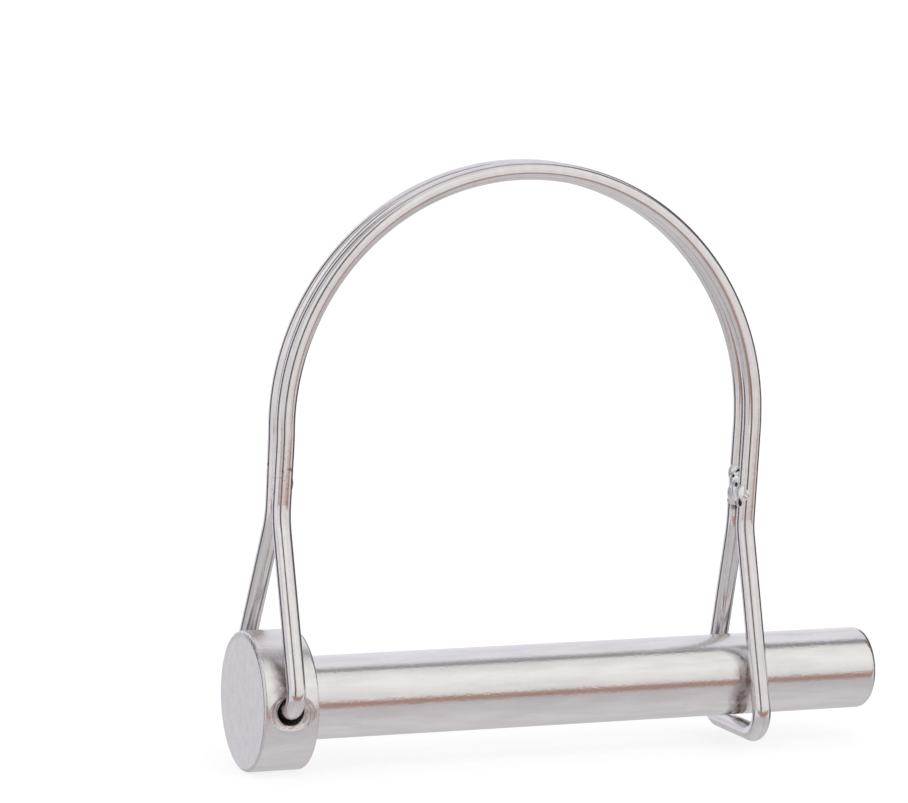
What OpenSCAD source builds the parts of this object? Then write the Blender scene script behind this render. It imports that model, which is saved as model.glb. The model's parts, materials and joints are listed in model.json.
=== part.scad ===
// Coupler pin with a sprung wire bail.
// Millimetres. The pin lies along +X with its head at -X, and the arch of the bail stands up along +Z.
// The origin is on the pin's axis, at the shoulder where the head meets the shank.

/* [Pin] */
// Diameter of the shank
shank_d = 8; // [6:0.1:9]
// Length of the shank, from the shoulder to the end of the tip
shank_len = 59.7; // [54:0.1:90]
// Radius of the rounded edge at the tip
tip_edge_r = 0.6; // [0.1:0.05:2]
// Diameter of the head
head_d = 13.5; // [11:0.1:18]
// Thickness of the head
head_t = 5.5; // [4.8:0.1:9]
// Radius of the rounded edges of the head
head_edge_r = 0.35; // [0.1:0.05:0.8]

/* [Cross hole] */
// Diameter of the hole through the head that the wire ends turn in
hole_d = 2.6; // [2.3:0.1:3.2]
// Diameter of the countersunk mouth at each end of the hole
mouth_d = 4.6; // [3.4:0.1:4.8]
// Depth of the mouth, from the side of the head to the edge of the hole
mouth_depth = 0.45; // [0.2:0.05:1]

/* [Wire] */
// Diameter of the wire
wire_d = 1.84; // [1.2:0.02:2]
// Distance between the centres of the two strands along the arch
strand_pitch = 2.3; // [2.1:0.1:3.2]
// Distance between the centres of the two strands where they are welded near the head
weld_pitch = 1.9; // [1.8:0.05:2.2]
// Bend radius at the centre of the wire where the strands part
part_bend_r = 6; // [3:0.5:10]
// Bend radius at the centre of the wire where the strands leave the arch
draw_bend_r = 25; // [10:1:30]

/* [Arch] */
// Radius of the arch at the centre of the wire
arch_r = 24.23; // [20:0.01:26]
// Height of the arch's centre above the pin's axis
arch_h = 26.1; // [24:0.1:40]
// How far the arch's end at the head stands from the cross hole, towards the tip
arch_forward = 0.9; // [0:0.05:1.5]

/* [Head legs] */
// Height above the pin's axis at which the strands part towards the head
head_part_h = 17.6; // [15:0.1:20]
// Gap between the legs and the side of the head
head_gap = 0.5; // [0.3:0.05:1]
// Bend radius at the centre of the wire where the legs turn into the cross hole
foot_bend_r = 1.3; // [1.1:0.1:1.6]
// Length of wire inside the head at each side
end_reach = 5; // [3:0.1:5.4]
// Gap left between the wire ends and the top of the cross hole, which they hang from
end_play = 0.13; // [0.05:0.01:0.2]

/* [Tip loop] */
// How far the loop stands back from the arch's end above it, towards the head
loop_back = 0.5; // [0:0.05:1.5]
// Height above the pin's axis at which the strands part towards the tip
tip_part_h = 14.8; // [13:0.1:19]
// Gap all round between the loop and the shank
loop_gap = 0.55; // [0.55:0.05:1.5]
// Bend radius at the centre of the wire at the lower corners of the loop
loop_bend_r = 2.3; // [1.1:0.1:2.5]

/* [Weld beads] */
// Diameter of a bead at its thickest
bead_d = 1.9; // [1.6:0.05:2.4]
// Length of a bead along the strands
bead_len = 4; // [3:0.1:5]
// How far the bead at the head stands in from the middle of the strands, under the arch
head_bead_in = 0.2; // [0.1:0.05:0.7]
// How far the bead at the tip stands in from the middle of the strands, under the arch
tip_bead_in = 0.5; // [0.1:0.05:0.7]
// How far the middle of a bead lies above the place where the strands part
bead_up = 4; // [2:0.1:4.5]

/* [Hidden] */
$fn = 64;
steel = [0.80, 0.79, 0.78];
spring_steel = [0.74, 0.73, 0.72];

// Segments of a rounded edge in the pin's outline
edge_steps = 6;
// Length by which a cut runs past the surface that it opens
overcut = 1;
// How far the ball that joins two stretches of wire stands out from the wire
ball_proud = 0.01;
// How far a straight stretch stops short of the middle of the ball at its end
ball_seat = 0.02;
// Drop below the arch's end of the corner where the strands leave it
draw_drop = 1;
// Lumps of a bead: place along it, place across the strands and diameter, as shares of their sizes
bead_lumps = [[-1, -0.3, 0.92], [0, 0.25, 1], [1, -0.12, 0.86]];

wire_r = wire_d / 2;
shank_r = shank_d / 2;
head_r = head_d / 2;
half_pitch = strand_pitch / 2;
half_weld_pitch = weld_pitch / 2;

hole_x = -head_t / 2;
mouth_flare = (mouth_d - hole_d) / 2 / mouth_depth;

head_side_x = hole_x + arch_forward;
head_part_x = hole_x + arch_forward * head_part_h / arch_h;
arch_x = head_side_x + arch_r;
tip_side_x = arch_x + arch_r;
loop_x = tip_side_x - loop_back;
draw_h = arch_h - draw_drop;

// Angle from upright of a leg that parts at height h and half width half, and passes the axis at a distance
function splay(half, h, distance) = asin(distance / norm([half, h])) - atan(half / h);

// Half width between such legs at height z
function leg_y(z, half, h, distance) = half + (h - z) * tan(splay(half, h, distance));

head_leg_distance = head_r + head_gap + wire_r;
loop_distance = shank_r + loop_gap + wire_r;
wire_end_y = head_r - end_reach;
wire_end_z = hole_d / 2 - wire_r - end_play;
foot_y = leg_y(wire_end_z, half_weld_pitch, head_part_h, head_leg_distance);
loop_corner_y = leg_y(-loop_distance, half_pitch, tip_part_h, loop_distance);

function unit(v) = v / norm(v);

// Angle through which a path turns at corner c on its way from a to b
function turn_at(a, c, b) = 180 - acos(unit(a - c) * unit(b - c));

// Length that a bend of radius r takes from each straight at corner c
function bend_reach(a, c, b, r) = r * tan(turn_at(a, c, b) / 2);

// Rounded edge of an outline: a quarter turn about a centre, starting at angle from
function edge_arc(centre, r, from) =
    [for (i = [0 : edge_steps]) let (a = from + 90 * i / edge_steps) centre + r * [cos(a), sin(a)]];

// Ball in which two stretches of wire meet
module ball(p) {
    translate(p) sphere(d = wire_d + 2 * ball_proud);
}

// Straight stretch of wire between two points
module straight(p, q) {
    v = q - p;
    translate(p)
        rotate([0, acos(v.z / norm(v)), atan2(v.y, v.x)])
            cylinder(h = norm(v), d = wire_d);
}

// Bend of radius r that rounds the corner c between points a and b
module bend(a, c, b, r) {
    turn = turn_at(a, c, b);
    inward = unit(unit(a - c) + unit(b - c));
    centre = c + inward * r / cos(turn / 2);
    start = c + unit(a - c) * bend_reach(a, c, b, r);
    e1 = unit(start - centre);
    e2 = unit(c - a);
    e3 = cross(e1, e2);
    multmatrix([
        [e1.x, e2.x, e3.x, centre.x],
        [e1.y, e2.y, e3.y, centre.y],
        [e1.z, e2.z, e3.z, centre.z]
    ])
        rotate_extrude(angle = turn)
            translate([r, 0]) circle(d = wire_d);
}

// Wire bent along a path of corner points, each inner corner rounded to its own radius
module bent_wire(path, radii) {
    last = len(path) - 1;
    reach = [for (i = [0 : last])
        (i == 0 || i == last) ? 0 : bend_reach(path[i - 1], path[i], path[i + 1], radii[i])];
    for (i = [0 : last - 1]) {
        along = unit(path[i + 1] - path[i]);
        from = path[i] + along * reach[i];
        to = path[i + 1] - along * reach[i + 1];
        straight(from + along * ball_seat, to - along * ball_seat);
        if (i > 0) ball(from);
        ball(to);
    }
    for (i = [1 : last - 1])
        bend(path[i - 1], path[i], path[i + 1], radii[i]);
}

// One strand: wire end, head leg, half of the arch's ring, tip leg and half of the cross wire
module strand() {
    bent_wire(
        [
            [hole_x, -wire_end_y, wire_end_z],
            [hole_x, -foot_y, wire_end_z],
            [head_part_x, -half_weld_pitch, head_part_h],
            [head_side_x, -half_pitch, draw_h],
            [head_side_x, -half_pitch, arch_h]
        ],
        [0, foot_bend_r, part_bend_r, draw_bend_r, 0]
    );
    translate([arch_x, -half_pitch, arch_h])
        rotate([90, 0, 0])
            rotate_extrude(angle = 180)
                translate([arch_r, 0]) circle(d = wire_d);
    ball([tip_side_x, -half_pitch, arch_h]);
    bent_wire(
        [
            [tip_side_x, -half_pitch, arch_h],
            [tip_side_x, -half_pitch, draw_h],
            [loop_x, -half_pitch, tip_part_h],
            [loop_x, -loop_corner_y, -loop_distance],
            [loop_x, 0, -loop_distance]
        ],
        [0, draw_bend_r, part_bend_r, loop_bend_r, 0]
    );
}

// Lumpy bead that bridges the two strands above the place where they part
module weld_bead(x, part_h) {
    spread = (bead_len - bead_d) / 2;
    for (lump = bead_lumps)
        translate([x, lump[1] * half_weld_pitch, part_h + bead_up + lump[0] * spread])
            sphere(d = lump[2] * bead_d);
}

// Outline of the pin, as radius and distance along the axis from the shoulder
function pin_outline() = concat(
    [[0, -head_t]],
    edge_arc([head_r - head_edge_r, head_edge_r - head_t], head_edge_r, -90),
    edge_arc([head_r - head_edge_r, -head_edge_r], head_edge_r, 0),
    [[shank_r, 0]],
    edge_arc([shank_r - tip_edge_r, shank_len - tip_edge_r], tip_edge_r, 0),
    [[0, shank_len]]
);

// Cutter for the cross hole and its two countersunk mouths, along Y
module cross_hole() {
    cone_r = mouth_d / 2 + mouth_flare * overcut;
    rotate([90, 0, 0])
        cylinder(h = head_d + 2 * overcut, d = hole_d, center = true);
    for (side = [-1, 1])
        rotate([90 * side, 0, 0])
            translate([0, 0, head_r - mouth_depth])
                cylinder(h = mouth_depth + overcut, r1 = hole_d / 2, r2 = cone_r);
}

module pin() {
    color(steel)
        difference() {
            rotate([0, 90, 0])
                rotate_extrude($fn = 128)
                    polygon(pin_outline());
            translate([hole_x, 0, 0]) cross_hole();
        }
}

module wire_bail() {
    color(spring_steel) {
        strand();
        mirror([0, 1, 0]) strand();
        weld_bead(head_part_x + head_bead_in, head_part_h);
        weld_bead(loop_x - tip_bead_in, tip_part_h);
    }
}

pin();
wire_bail();
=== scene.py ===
"""Looks of the coupler pin: a turned, plated pin and a bail of bent spring wire with two welds."""
import json
import math

import bpy
from mathutils import Matrix, Vector


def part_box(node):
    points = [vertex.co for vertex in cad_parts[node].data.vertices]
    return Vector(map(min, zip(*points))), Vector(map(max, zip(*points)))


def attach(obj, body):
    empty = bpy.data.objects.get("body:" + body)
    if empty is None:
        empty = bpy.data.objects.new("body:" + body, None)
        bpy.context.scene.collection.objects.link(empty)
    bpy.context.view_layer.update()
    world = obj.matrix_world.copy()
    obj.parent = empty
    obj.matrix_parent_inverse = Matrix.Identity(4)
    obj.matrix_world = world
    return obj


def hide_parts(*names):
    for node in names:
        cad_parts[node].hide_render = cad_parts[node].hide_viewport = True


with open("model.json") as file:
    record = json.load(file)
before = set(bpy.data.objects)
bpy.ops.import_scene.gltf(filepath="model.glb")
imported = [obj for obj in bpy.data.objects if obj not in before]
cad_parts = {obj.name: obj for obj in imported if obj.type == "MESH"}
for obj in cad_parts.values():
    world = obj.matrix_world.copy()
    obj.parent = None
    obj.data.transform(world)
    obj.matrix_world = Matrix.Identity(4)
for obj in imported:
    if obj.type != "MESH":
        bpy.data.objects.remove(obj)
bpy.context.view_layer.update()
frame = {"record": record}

MM = 0.001

# Pin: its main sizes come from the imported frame, and the others are those of the solids, apart from
# the edges of the tip and of the hole's mouth, which are a little rounder
pin_low, pin_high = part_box("pin")
shank_mount = next(m for m in frame["record"]["mounts"] if m["name"] == "shank")
SHANK_R = shank_mount["dims"]["r_mm"] * MM
SHANK_LEN = pin_high[0]
HEAD_R = pin_high[2]
HEAD_T = -pin_low[0]
HEAD_EDGE_R = 0.35 * MM
TIP_EDGE_R = 0.8 * MM
HOLE_R = 1.3 * MM
MOUTH_R = 2.3 * MM
MOUTH_DEPTH = 0.45 * MM
MOUTH_ROUND = 0.2 * MM
CHATTER_PITCH = 0.4 * MM

# Wire and bail: the sizes of the solids, apart from a slightly thinner wire, rounder elbows at the head
# with the wire ends back in the hole, legs a little further out and a loop closer to the shank
WIRE_R = 0.911 * MM
STRAND_PITCH = 2.3 * MM
WELD_PITCH = 1.9 * MM
PART_BEND_R = 6.0 * MM
DRAW_BEND_R = 25.0 * MM
ARCH_R = 24.23 * MM
ARCH_H = 26.1 * MM
ARCH_FORWARD = 0.9 * MM
HEAD_PART_H = 17.6 * MM
HEAD_LEG_OUT = 1.5 * MM
FOOT_BEND_R = 1.6 * MM
END_REACH = 5.0 * MM
END_LIFT = 0.25 * MM
END_BACK = 0.2 * MM
LOOP_BACK = 0.5 * MM
TIP_PART_H = 14.8 * MM
LOOP_OUT = 1.12 * MM
LOOP_BEND_R = 2.3 * MM
DRAW_DROP = 1.0 * MM

# Welds: height of their middle above the parting, and lumps of metal in millimetres as
# (place across the strands, height from the middle, reach under the arch, radius, stretch upwards)
WELD_UP = 4.0 * MM
HEAD_LUMPS = (
    (0.7, -0.9, 0.2, 0.9, 1.3),
    (-0.6, -0.7, 0.25, 0.9, 1.3),
    (0.0, 0.4, 0.25, 0.8, 1.2),
    (-0.65, 1.2, 0.25, 0.8, 1.1),
)
TIP_LUMPS = (
    (0.95, -0.9, 0.14, 1.02, 1.4),
    (-1.1, -0.7, 0.26, 0.95, 1.5),
    (1.1, -1.6, 0.16, 0.9, 1.0),
    (-1.0, -1.45, 0.24, 0.93, 1.0),
    (0.0, -0.4, 0.35, 0.85, 1.8),
    (0.5, 0.4, 0.25, 0.95, 1.4),
    (0.95, 1.1, 0.2, 0.94, 1.2),
)
# Notches of the tip weld, darkened with painted shade, and its bright specks of painted highlight, in
# millimetres as
# (place across the strands, height from its middle, half width, half height, depth of a notch)
TIP_NOTCHES = (
    (-1.5, -1.42, 0.19, 0.58, 0.06),
    (-0.75, -1.7, 0.4, 0.4, 0.12),
    (-0.44, 0.24, 0.17, 0.27, 0.25),
    (0.13, 0.97, 0.15, 0.19, 0.35),
    (0.1, 1.58, 0.09, 0.28, 0.2),
    (1.14, -1.7, 0.24, 0.28, 0.06),
)
TIP_GLINT_SPOTS = (
    (0.16, 1.36, 0.17, 0.28),
    (-0.18, 0.91, 0.13, 0.16),
    (-1.9, -0.9, 0.16, 0.36),
)
# Distance of the bead's face from the strands, and share of a spot of painted shade that is cut
NOTCH_REACH = 1.0 * MM
NOTCH_SHARE = 0.7
WELD_RIPPLE = 0.07 * MM
WELD_RIPPLE_SIZE = 0.7 * MM

# Fineness of the meshes, and the angles in degrees up to which their faces are shaded as one
CHAIN_STEP = 0.6 * MM
CHAIN_TURN = math.radians(7)
HOLD = 0.06 * MM
SHORTEST = 0.0001 * MM
MERGE_REACH = 0.002 * MM
PIN_SIDES = 192
WIRE_ROUNDNESS = 10
LUMP_SIDES = 32
NOTCH_SIDES = 24
WELD_VOXEL = 0.05 * MM
PIN_SMOOTH = 20
WIRE_SMOOTH = 40
WELD_SMOOTH = 50

# Camera, fitted to the photo's frame
VIEW_AIM = Vector((16.11, 1.23, 27.94)) * MM
VIEW_DISTANCE = 453.45 * MM
VIEW_AZIMUTH = math.radians(-21.28)
VIEW_ELEVATION = math.radians(7.25)
VIEW_ROLL = math.radians(0.91)
LENS = 186.83
SENSOR_WIDTH = 36
CLIP_START = 0.01
CLIP_END = 20

# Floor, and the brown table edge in front that the steel mirrors
FLOOR_Z = -HEAD_R
FLOOR_SIZE = 6.0
FLOOR_GLOW = 0.7
EDGE_PLACE = Vector((50, -134, -30)) * MM
EDGE_LEN = 900 * MM
EDGE_H = 58 * MM

# Dark gaps of the light tent, in degrees as (bearing from the camera, half width, softness)
CAMERA_GAP = (-8, 9, 4)
LEFT_GAP = (-112, 15, 6)
RIGHT_GAP = (139, 27, 6)
UPPER_GAP = (112, 15, 6)
# Rise in degrees over which each gap starts or ends
GAP_FOOT = (-24, -16)
GAP_TOP = (50, 70)
RIGHT_GAP_TOP = (32, 42)
UPPER_GAP_FOOT = (36, 46)
# Overhead seam, in degrees up from the front, and the rise over which the ground starts
SEAM_FRONT = (79.5, 83.5)
SEAM_BACK = (88, 103)
GROUND_TOP = (-20, -14)

# Places along the bail
HOLE_X = -HEAD_T / 2
END_X = HOLE_X - END_BACK
HEAD_SIDE_X = HOLE_X + ARCH_FORWARD
HEAD_PART_X = HOLE_X + ARCH_FORWARD * HEAD_PART_H / ARCH_H
TIP_SIDE_X = HEAD_SIDE_X + 2 * ARCH_R
LOOP_X = TIP_SIDE_X - LOOP_BACK
DRAW_H = ARCH_H - DRAW_DROP
ARCH_TOP = ARCH_H + ARCH_R
HEAD_LEG_DISTANCE = HEAD_R + HEAD_LEG_OUT
LOOP_DISTANCE = SHANK_R + LOOP_OUT
HEAD_WELD_Z = HEAD_PART_H + WELD_UP
TIP_WELD_Z = TIP_PART_H + WELD_UP


def leg_y(z, half, part_h, distance):
    """Half width at height z between two legs that part at (half, part_h).

    They pass the pin's axis at the given distance.
    """
    splay = math.asin(distance / math.hypot(half, part_h)) - math.atan(half / part_h)
    return half + (part_h - z) * math.tan(splay)


def colour(red, green, blue):
    return (red, green, blue, 1.0)


def per_mm(*counts):
    """Scale of a texture, from its number of features in a millimetre along each axis."""
    return tuple(count / MM for count in counts)


class Socket:
    """An output in a node tree. Arithmetic on it adds Math nodes, and node() adds any other node."""

    def __init__(self, tree, output=None):
        self.tree = tree
        self.output = output

    def node(self, kind, settings=None, inputs=None, output=0):
        """Adds a node, sets its settings, then the values or links of its inputs."""
        made = self.tree.nodes.new(kind)
        for name, value in (settings or {}).items():
            setattr(made, name, value)
        for name, value in (inputs or {}).items():
            if isinstance(value, Socket):
                self.tree.links.new(value.output, made.inputs[name])
            else:
                made.inputs[name].default_value = value
        return Socket(self.tree, made.outputs[output] if len(made.outputs) else None)

    def math(self, operation, *others):
        """Math node with this as its first value."""
        return self.node("ShaderNodeMath", {"operation": operation}, dict(enumerate((self, *others))))

    def __add__(self, other):
        return self.math("ADD", other)

    def __sub__(self, other):
        return self.math("SUBTRACT", other)

    def __rsub__(self, other):
        return self.node("ShaderNodeMath", {"operation": "SUBTRACT"}, {0: other, 1: self})

    def __mul__(self, other):
        return self.math("MULTIPLY", other)

    def __truediv__(self, other):
        return self.math("DIVIDE", other)

    __radd__ = __add__
    __rmul__ = __mul__

    def part(self, axis):
        """One component of a vector."""
        return self.node("ShaderNodeSeparateXYZ", None, {0: self}, axis)

    def join(self, y, z):
        """Vector with this as its first component."""
        return self.node("ShaderNodeCombineXYZ", None, {0: self, 1: y, 2: z})

    def blend(self, first, second):
        """First colour where this is 0, second colour where it is 1."""
        settings = {"data_type": "RGBA"}
        return self.node("ShaderNodeMix", settings, {0: self, 6: first, 7: second}, 2)

    def ramp(self, low, high, start=0.0, end=1.0):
        """Smooth step from start at low to end at high."""
        inputs = {"Value": self, "From Min": low, "From Max": high, "To Min": start, "To Max": end}
        return self.node("ShaderNodeMapRange", {"interpolation_type": "SMOOTHSTEP"}, inputs)

    def fall(self, low, high):
        """Smooth step from 1 at low to 0 at high."""
        return self.ramp(low, high, 1.0, 0.0)

    def band(self, centre, half, soft):
        """1 within half of the centre, with soft sides."""
        return (self - centre).math("ABSOLUTE").fall(half - soft, half + soft)

    def noise(self, scale, detail=2.0, rough=0.5):
        """Fine unevenness read at this place, with a scale for each axis."""
        stretch = self.node("ShaderNodeMapping", None, {"Vector": self, "Scale": scale})
        inputs = {"Vector": stretch, "Scale": 1.0, "Detail": detail, "Roughness": rough}
        return self.node("ShaderNodeTexNoise", None, inputs)


def deselect():
    """Leaves object mode with nothing selected."""
    if bpy.context.object and bpy.context.object.mode != "OBJECT":
        bpy.ops.object.mode_set(mode="OBJECT")
    bpy.ops.object.select_all(action="DESELECT")


def make_active(piece):
    deselect()
    piece.select_set(True)
    bpy.context.view_layer.objects.active = piece


def apply_modifier(piece, kind, **settings):
    make_active(piece)
    modifier = piece.modifiers.new(kind.lower(), kind)
    for name, value in settings.items():
        setattr(modifier, name, value)
    bpy.ops.object.modifier_apply(modifier=modifier.name)


def cut(piece, cutter):
    """Takes the cutter's volume out of the piece, then deletes the cutter."""
    apply_modifier(piece, "BOOLEAN", operation="DIFFERENCE", solver="EXACT", object=cutter)
    make_active(cutter)
    bpy.ops.object.delete()


def smooth_faces(piece, degrees):
    make_active(piece)
    bpy.ops.object.shade_smooth_by_angle(angle=math.radians(degrees))


def draw_straight(start, end):
    """Extrudes the last vertex of the chain from start to end, with a short hold at both ends."""
    way = end - start
    length = way.length
    if length < SHORTEST:
        return
    inner = length - 2 * HOLD
    if inner < HOLD:
        moves = [way]
    else:
        count = max(1, math.ceil(inner / CHAIN_STEP))
        hold = way * (HOLD / length)
        moves = [hold] + [way * (inner / length / count)] * count + [hold]
    for move in moves:
        bpy.ops.mesh.extrude_region_move(TRANSFORM_OT_translate={"value": move})


def draw_chain(name, corners):
    """Chain of vertices along a path of (corner, bend radius): straights extruded and bends spun."""
    deselect()
    bpy.ops.mesh.primitive_plane_add(size=MM, location=(0, 0, 0))
    piece = bpy.context.object
    piece.name = name
    points = [Vector(place) for place, radius in corners]
    bpy.ops.object.mode_set(mode="EDIT")
    bpy.ops.mesh.merge(type="CENTER")
    bpy.ops.transform.translate(value=points[0])
    start = points[0]
    for index in range(1, len(points) - 1):
        corner = points[index]
        radius = corners[index][1]
        back = (points[index - 1] - corner).normalized()
        ahead = (points[index + 1] - corner).normalized()
        turn = math.pi - back.angle(ahead)
        reach = radius * math.tan(turn / 2)
        bend_start = corner + back * reach
        draw_straight(start, bend_start)
        if radius > 0:
            centre = corner + (back + ahead).normalized() * (radius / math.cos(turn / 2))
            axis = (bend_start - centre).cross(back).normalized()
            arc = turn * radius
            steps = max(2, math.ceil(arc / CHAIN_STEP), math.ceil(turn / CHAIN_TURN))
            bpy.ops.mesh.spin(steps=steps, angle=turn, center=centre, axis=axis)
        start = corner + ahead * reach
    draw_straight(start, points[-1])
    bpy.ops.object.mode_set(mode="OBJECT")
    return piece


def turn_round(piece, centre, axis):
    """Spins a drawn outline a full turn, as on a lathe, and closes it."""
    make_active(piece)
    bpy.ops.object.mode_set(mode="EDIT")
    bpy.ops.mesh.select_all(action="SELECT")
    bpy.ops.mesh.spin(steps=PIN_SIDES, angle=math.tau, center=centre, axis=axis)
    bpy.ops.mesh.select_all(action="SELECT")
    bpy.ops.mesh.remove_doubles(threshold=MERGE_REACH)
    bpy.ops.mesh.normals_make_consistent(inside=False)
    bpy.ops.object.mode_set(mode="OBJECT")


def turned_pin():
    """Head and shank turned in one outline, with the countersunk cross hole cut through the head."""
    outline = [
        ((-HEAD_T, 0, 0), 0),
        ((-HEAD_T, 0, HEAD_R), HEAD_EDGE_R),
        ((0, 0, HEAD_R), HEAD_EDGE_R),
        ((0, 0, SHANK_R), 0),
        ((SHANK_LEN, 0, SHANK_R), TIP_EDGE_R),
        ((SHANK_LEN, 0, 0), 0),
    ]
    pin = draw_chain("pin_turned", outline)
    turn_round(pin, (0, 0, 0), (1, 0, 0))
    flare = MOUTH_R - HOLE_R
    past = HEAD_R + MOUTH_DEPTH
    throat = HEAD_R - MOUTH_DEPTH
    wide = MOUTH_R + flare
    cutter_outline = [
        ((HOLE_X, -past, 0), 0),
        ((HOLE_X, -past, wide), 0),
        ((HOLE_X, -throat, HOLE_R), MOUTH_ROUND),
        ((HOLE_X, throat, HOLE_R), MOUTH_ROUND),
        ((HOLE_X, past, wide), 0),
        ((HOLE_X, past, 0), 0),
    ]
    cutter = draw_chain("hole_cutter", cutter_outline)
    turn_round(cutter, (HOLE_X, 0, 0), (0, 1, 0))
    cut(pin, cutter)
    smooth_faces(pin, PIN_SMOOTH)
    return pin


def strand_corners(side):
    """Corners of one strand from its end in the head to the loop, each with its bend radius."""
    half = side * STRAND_PITCH / 2
    weld = side * WELD_PITCH / 2
    end_y = side * (HEAD_R - END_REACH)
    foot_y = side * leg_y(END_LIFT, WELD_PITCH / 2, HEAD_PART_H, HEAD_LEG_DISTANCE)
    loop_y = side * leg_y(-LOOP_DISTANCE, STRAND_PITCH / 2, TIP_PART_H, LOOP_DISTANCE)
    return [
        ((END_X, end_y, END_LIFT), 0),
        ((END_X, foot_y, END_LIFT), FOOT_BEND_R),
        ((HEAD_PART_X, weld, HEAD_PART_H), PART_BEND_R),
        ((HEAD_SIDE_X, half, DRAW_H), DRAW_BEND_R),
        ((HEAD_SIDE_X, half, ARCH_TOP), ARCH_R),
        ((TIP_SIDE_X, half, ARCH_TOP), ARCH_R),
        ((TIP_SIDE_X, half, DRAW_H), DRAW_BEND_R),
        ((LOOP_X, half, TIP_PART_H), PART_BEND_R),
        ((LOOP_X, loop_y, -LOOP_DISTANCE), LOOP_BEND_R),
    ]


def bent_wire():
    """One length of wire from the head, over the arch, round the loop and back into the head."""
    wire = draw_chain("bail_wire", strand_corners(-1) + strand_corners(1)[::-1])
    make_active(wire)
    bpy.ops.object.convert(target="CURVE")
    wire = bpy.context.object
    wire.data.dimensions = "3D"
    wire.data.bevel_depth = WIRE_R
    wire.data.bevel_resolution = WIRE_ROUNDNESS
    wire.data.use_fill_caps = True
    bpy.ops.object.convert(target="MESH")
    wire = bpy.context.object
    smooth_faces(wire, WIRE_SMOOTH)
    return wire


def add_ball(place, radius, scale, sides):
    deselect()
    bpy.ops.mesh.primitive_uv_sphere_add(
        segments=sides,
        ring_count=sides // 2,
        radius=radius,
        location=place,
        scale=scale,
    )
    return bpy.context.object


def weld_bead(name, lumps, notches, low, high, part_h, under):
    """Lumps of weld metal over both strands, melted into one rippled bead on the side under the arch.

    The strands lean from x = low at the parting to x = high at the arch. The notches are cut last.
    """
    middle = part_h + WELD_UP
    strand_x = low + (high - low) * WELD_UP / (DRAW_H - part_h)
    made = []
    for across, rise, reach, radius, stretch in lumps:
        place = (strand_x + under * reach * MM, across * MM, middle + rise * MM)
        made.append(add_ball(place, radius * MM, (1, 1, stretch), LUMP_SIDES))
    deselect()
    for lump in made:
        lump.select_set(True)
    bpy.context.view_layer.objects.active = made[0]
    bpy.ops.object.join()
    bead = bpy.context.object
    bead.name = name
    bpy.ops.object.transform_apply(location=True, rotation=True, scale=True)
    ripple = bpy.data.textures.new(name + "_ripple", "CLOUDS")
    ripple.noise_scale = WELD_RIPPLE_SIZE
    ripple.noise_depth = 1
    apply_modifier(bead, "REMESH", mode="VOXEL", voxel_size=WELD_VOXEL)
    apply_modifier(bead, "SMOOTH", factor=0.5, iterations=16)
    apply_modifier(
        bead,
        "DISPLACE",
        texture=ripple,
        strength=WELD_RIPPLE,
        mid_level=0.6,
        texture_coords="LOCAL",
    )
    for across, rise, wide, tall, deep in notches:
        place = (strand_x + under * NOTCH_REACH, across * MM, middle + rise * MM)
        cut(bead, add_ball(place, MM, (deep, wide * NOTCH_SHARE, tall * NOTCH_SHARE), NOTCH_SIDES))
    smooth_faces(bead, WELD_SMOOTH)
    return bead


def new_finish(name):
    """Empty material and the start of its node tree."""
    material = bpy.data.materials.new(name)
    material.use_nodes = True
    material.node_tree.nodes.clear()
    return material, Socket(material.node_tree)


def close_finish(start, tone, rough, height):
    """Bare metal with a colour, a roughness and a relief in millimetres."""
    normal = start.node("ShaderNodeBump", None, {"Strength": 1.0, "Distance": MM, "Height": height})
    inputs = {"Base Color": tone, "Metallic": 1.0, "Roughness": rough, "Normal": normal}
    steel = start.node("ShaderNodeBsdfPrincipled", None, inputs)
    start.node("ShaderNodeOutputMaterial", None, {"Surface": steel})


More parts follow.
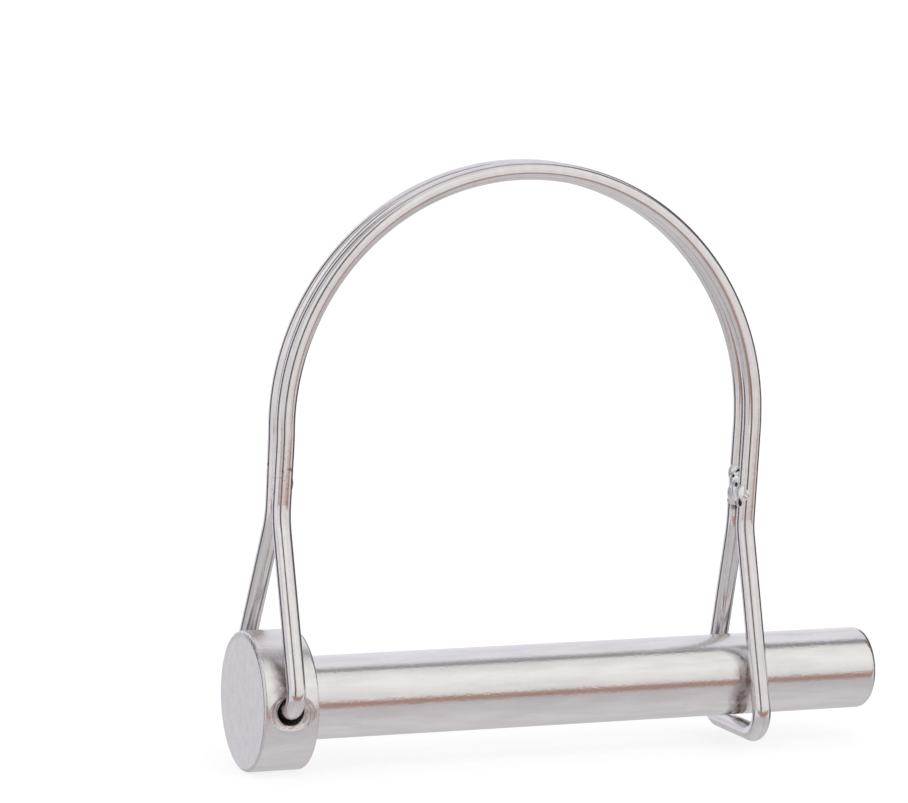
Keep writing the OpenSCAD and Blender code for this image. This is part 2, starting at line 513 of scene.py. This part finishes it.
def turned_steel():
    """Bright plating over turning marks: satin on the head, worn at its rim, with painted shade beside
    the wire and in the bore.
    """
    bright = colour(0.825, 0.81, 0.80)
    dull = colour(0.755, 0.74, 0.74)
    satin = colour(0.64, 0.63, 0.63)
    tarnish = colour(0.76, 0.68, 0.64)
    ring_shade = colour(0.55, 0.47, 0.44)
    wire_shade_brown = colour(0.36, 0.29, 0.26)
    bore_shade_dark = colour(0.06, 0.05, 0.05)
    material, start = new_finish("turned_steel")
    place = start.node("ShaderNodeTexCoord", output="Object")
    x = place.part("X")
    z = place.part("Z")
    side = place.part("Y").math("ABSOLUTE")
    radius = (z * z + side * side).math("SQRT")
    from_hole = (z * z + (x - HOLE_X) * (x - HOLE_X)).math("SQRT")
    marks = place.noise(per_mm(3.0, 0.12, 0.12), 3.0, 0.6)
    streaks = place.noise(per_mm(0.16, 0.9, 0.9), 3.0, 0.55)
    grain = place.noise(per_mm(3.0, 3.0, 3.0), 2.0, 0.6)
    dents = place.noise(per_mm(1.1, 1.1, 1.1))
    # Regions of the surface
    head = x.fall(-0.15 * MM, 0.0)
    face = x.fall(-HEAD_T + 0.1 * MM, -HEAD_T + 0.3 * MM)
    rim = x.fall(-HEAD_T + 0.25 * MM, -HEAD_T + 0.55 * MM)
    rim = rim * radius.ramp(HEAD_R - 0.7 * MM, HEAD_R - 0.35 * MM) * z.ramp(3.5 * MM, 5.5 * MM)
    mouth = radius.fall(HEAD_R - 0.08 * MM, HEAD_R - 0.02 * MM)
    mouth = mouth * x.band(HOLE_X, 2.4 * MM, 0.1 * MM)
    dished = from_hole.fall(MOUTH_R - 0.3 * MM, MOUTH_R + 0.4 * MM)
    inside = from_hole.fall(HOLE_R - 0.01 * MM, HOLE_R + 0.01 * MM)
    # Painted shade of the wire: patchy brown on the head's sides beside the legs and on the shank beside
    # the loop
    shade_by_leg = x.band(HOLE_X - 0.7 * MM, 0.8 * MM, 0.6 * MM) * z.band(2.8 * MM, 2.0 * MM, 1.2 * MM)
    shade_by_loop = x.band(LOOP_X - 0.9 * MM, 1.0 * MM, 0.6 * MM) * z.fall(0.0, 2.5 * MM)
    painted_wire_shade = (shade_by_leg + shade_by_loop) * side.ramp(0.5 * MM, 2.0 * MM) * dents.ramp(0.3, 0.65, 0.3, 1.0)
    chatter = (from_hole * (math.tau / CHATTER_PITCH) + dents * 9.0).math("SINE")
    # Colour
    tone = (streaks * 0.88 + marks * 0.12).ramp(0.36, 0.66).blend(bright, dull)
    tone = (face * 0.6).blend(tone, satin)
    tone = (mouth * dents.ramp(0.45, 0.6)).blend(tone, tarnish)
    tone = (mouth * chatter.ramp(0.3, 0.9) * 0.4).blend(tone, ring_shade)
    # Painted shade beside the wire legs and loop
    tone = (painted_wire_shade * 0.75).blend(tone, wire_shade_brown)
    # Painted shade: the wall of the cross hole is coloured near black
    tone = inside.blend(tone, bore_shade_dark)
    # Relief and gloss
    height = grain * (0.015 - face * 0.011 + rim * 0.07) + marks * 0.004 + dished * dents * 0.1
    height = height - mouth * chatter * 0.017
    rough = 0.14 + streaks * 0.08 + head * 0.09 + mouth * 0.08 + inside * 0.3
    close_finish(start, tone, rough, height)
    return material


def spring_wire():
    """Plated drawn wire with die lines, dark specks at the head weld and a dark band just under the tip
    weld.
    """
    bright = colour(0.81, 0.79, 0.79)
    dull = colour(0.725, 0.70, 0.70)
    speck_dark = colour(0.28, 0.26, 0.25)
    under_weld_dark = colour(0.12, 0.1, 0.1)
    material, start = new_finish("spring_wire")
    place = start.node("ShaderNodeTexCoord", output="Object")
    x = place.part("X")
    y = place.part("Y")
    z = place.part("Z")
    chart = start.node("ShaderNodeUVMap", {"uv_map": "UVMap"})
    around = chart.part("Y") * math.tau
    along = chart.part("X") * 24
    lines = along.join(around.math("COSINE") * 3.5, around.math("SINE") * 3.5).noise((1, 1, 1))
    skin = place.noise(per_mm(0.8, 0.8, 0.8), 3.0, 0.6)
    specks = place.noise(per_mm(1.5, 1.5, 1.5)).ramp(0.60, 0.68)
    welded = z.band(HEAD_WELD_Z, 2.2 * MM, 0.6 * MM) * x.fall(ARCH_R - MM, ARCH_R)
    # Darker band on the strands just under the tip weld
    under_weld_band = z.band(TIP_WELD_Z - 2.1 * MM, 0.3 * MM, 0.2 * MM) * y.band(0.3 * MM, 0.4 * MM, 0.35 * MM)
    under_weld_band = under_weld_band * x.ramp(ARCH_R - MM, ARCH_R)
    tone = (lines * 0.6 + skin * 0.4).ramp(0.36, 0.64).blend(bright, dull)
    tone = (specks * welded).blend(tone, speck_dark)
    tone = (under_weld_band * 0.9).blend(tone, under_weld_dark)
    close_finish(start, tone, 0.12 + lines * 0.1, lines * 0.005 + skin * 0.012)
    return material


def weld_spots(place, lump, spots):
    """1 within the listed spots of the tip weld, with ragged sides."""
    found = None
    for spot in spots:
        across, rise, wide, tall = spot[:4]
        aside = (place.part("Y") - across * MM) / (wide * MM)
        above = (place.part("Z") - (TIP_WELD_Z + rise * MM)) / (tall * MM)
        distance = (aside * aside + above * above).math("SQRT") + (lump - 0.5) * 1.5
        within = distance.fall(0.6, 1.1)
        found = found.math("MAXIMUM", within) if found else within
    return found


def weld_steel():
    """Melted metal with painted shade in its pits and in the notches of the tip weld, and painted
    highlights on the tip weld's bright specks.
    """
    bright = colour(0.94, 0.93, 0.94)
    dull = colour(0.84, 0.83, 0.84)
    glint_bright = colour(0.98, 0.97, 0.93)
    pit_shade_dark = colour(0.05, 0.045, 0.05)
    material, start = new_finish("weld_steel")
    place = start.node("ShaderNodeTexCoord", output="Object")
    lump = place.noise(per_mm(1.3, 1.3, 1.3))
    at_tip = place.part("X").ramp(ARCH_R - MM, ARCH_R)
    notches = weld_spots(place, lump, TIP_NOTCHES) * at_tip
    specks = weld_spots(place, lump, TIP_GLINT_SPOTS) * at_tip
    pits = place.noise(per_mm(1.9, 1.9, 1.2), 1.0).fall(0.28, 0.36)
    pits = (pits * (1 - at_tip)).math("MAXIMUM", notches)
    tone = lump.ramp(0.4, 0.6).blend(bright, dull)
    # Painted highlights on the bright specks of the tip weld
    tone = specks.blend(tone, glint_bright)
    # Painted shade in the pits, and in the notches of the tip weld
    tone = pits.blend(tone, pit_shade_dark)
    height = lump * 0.06 - pits * 0.08 + specks * 0.03
    close_finish(start, tone, 0.28 + lump * 0.15 - specks * 0.12, height)
    return material


def finish_piece(piece, node_name, body, material):
    piece.data.materials.clear()
    piece.data.materials.append(material)
    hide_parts(node_name)
    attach(piece, body)


def light_tent():
    """White tent round the object, with an overhead seam and dark gaps at the camera and the sides."""
    black = colour(0, 0, 0)
    warm_white = colour(1.0, 0.98, 0.97)
    back_wall = colour(0.885, 0.868, 0.935)
    seam_grey = colour(0.29, 0.28, 0.29)
    gap_dark = colour(0.1, 0.095, 0.095)
    ground_white = colour(1.0, 0.976, 1.0)
    world = bpy.data.worlds.new("light_tent")
    bpy.context.scene.world = world
    world.use_nodes = True
    world.node_tree.nodes.clear()
    start = Socket(world.node_tree)
    way = start.node("ShaderNodeTexCoord", output="Generated")
    x = way.part("X")
    front = 0 - way.part("Y")
    up = way.part("Z")
    # Directions in degrees: over from the front to the back, rise from level, bearing from the camera
    degrees = math.degrees(1)
    over = up.math("ARCTAN2", front) * degrees
    rise = up.math("ARCSINE") * degrees
    sine = math.sin(VIEW_AZIMUTH)
    cosine = math.cos(VIEW_AZIMUTH)
    ahead = x * sine + front * cosine
    aside = x * cosine - front * sine
    bearing = aside.math("ARCTAN2", ahead) * degrees
    level = rise.ramp(0, 38, 0.87, 1.0) * rise.ramp(42, 74, 1.0, 0.84)
    walls = level.blend(black, warm_white)
    walls = front.fall(-0.02, 0.02).blend(walls, back_wall)
    seam = over.ramp(*SEAM_FRONT) * over.fall(*SEAM_BACK) * up.ramp(0.2, 0.4)
    walls = seam.blend(walls, seam_grey)
    foot = rise.ramp(*GAP_FOOT)
    upright = foot * rise.fall(*GAP_TOP)
    before = bearing.band(*CAMERA_GAP) * upright
    left = bearing.band(*LEFT_GAP) * upright
    right = bearing.band(*RIGHT_GAP) * foot * rise.fall(*RIGHT_GAP_TOP)
    above = bearing.band(*UPPER_GAP) * rise.ramp(*UPPER_GAP_FOOT) * upright
    dark = before.math("MAXIMUM", left + right.math("MAXIMUM", above))
    walls = dark.blend(walls, gap_dark)
    ground = rise.ramp(-80, -22, 0.73, 0.61).blend(black, ground_white)
    walls = rise.fall(*GROUND_TOP).blend(walls, ground)
    tent = start.node("ShaderNodeBackground", None, {"Color": walls, "Strength": 1.0})
    white = start.node("ShaderNodeBackground", None, {"Color": colour(1, 1, 1), "Strength": 1.0})
    camera_ray = start.node("ShaderNodeLightPath", output="Is Camera Ray")
    shown = start.node("ShaderNodeMixShader", None, {0: camera_ray, 1: tent, 2: white})
    start.node("ShaderNodeOutputWorld", None, {"Surface": shown})


def floor():
    """Plain white floor that keeps a soft shadow."""
    deselect()
    bpy.ops.mesh.primitive_plane_add(size=FLOOR_SIZE, location=(0, 0, FLOOR_Z))
    ground = bpy.context.object
    ground.name = "floor"
    ground.visible_glossy = False
    material, start = new_finish("floor_white")
    glow_level = start.node("ShaderNodeLightPath", output="Is Camera Ray") * FLOOR_GLOW
    sheet = start.node("ShaderNodeBsdfDiffuse", None, {"Color": colour(0.5, 0.5, 0.5)})
    glow = start.node("ShaderNodeEmission", None, {"Color": colour(1, 1, 1), "Strength": glow_level})
    both = start.node("ShaderNodeAddShader", None, {0: sheet, 1: glow})
    start.node("ShaderNodeOutputMaterial", None, {"Surface": both})
    ground.data.materials.append(material)


def table_edge():
    """Brown table edge in front of the object, which only mirrored light shows."""
    deselect()
    bpy.ops.mesh.primitive_plane_add(size=1, location=EDGE_PLACE, rotation=(math.pi / 2, 0, 0))
    edge = bpy.context.object
    edge.name = "table_edge"
    edge.scale = (EDGE_LEN, EDGE_H, 1)
    edge.visible_camera = False
    edge.visible_diffuse = False
    edge.visible_shadow = False
    material, start = new_finish("table_brown")
    height = start.node("ShaderNodeTexCoord", output="Object").part("Y")
    fade = height.math("ABSOLUTE").fall(0.19, 0.5)
    clear = start.node("ShaderNodeBsdfTransparent")
    brown = start.node("ShaderNodeEmission", None, {"Color": colour(0.42, 0.25, 0.21), "Strength": 1.0})
    shown = start.node("ShaderNodeMixShader", None, {0: fade, 1: clear, 2: brown})
    start.node("ShaderNodeOutputMaterial", None, {"Surface": shown})
    edge.data.materials.append(material)


def camera():
    """Camera at the photo's viewing angle."""
    turn = Matrix.Rotation(VIEW_AZIMUTH, 4, "Z") @ Matrix.Rotation(math.pi / 2 - VIEW_ELEVATION, 4, "X")
    back = turn @ Vector((0, 0, VIEW_DISTANCE))
    deselect()
    bpy.ops.object.camera_add()
    eye = bpy.context.object
    eye.matrix_world = Matrix.Translation(VIEW_AIM + back) @ turn @ Matrix.Rotation(VIEW_ROLL, 4, "Z")
    eye.data.sensor_width = SENSOR_WIDTH
    eye.data.lens = LENS
    eye.data.clip_start = CLIP_START
    eye.data.clip_end = CLIP_END
    bpy.context.scene.camera = eye


bpy.context.scene.view_settings.view_transform = "Standard"
camera()
light_tent()
floor()
table_edge()

wire_finish = spring_wire()
weld_finish = weld_steel()
finish_piece(turned_pin(), "pin", "pin", turned_steel())
finish_piece(bent_wire(), "wire_bail", "bail", wire_finish)
head_weld = weld_bead("head_weld", HEAD_LUMPS, (), HEAD_PART_X, HEAD_SIDE_X, HEAD_PART_H, 1)
finish_piece(head_weld, "wire_bail", "bail", weld_finish)
tip_weld = weld_bead("tip_weld", TIP_LUMPS, TIP_NOTCHES, LOOP_X, TIP_SIDE_X, TIP_PART_H, -1)
finish_piece(tip_weld, "wire_bail", "bail", weld_finish)

deselect()
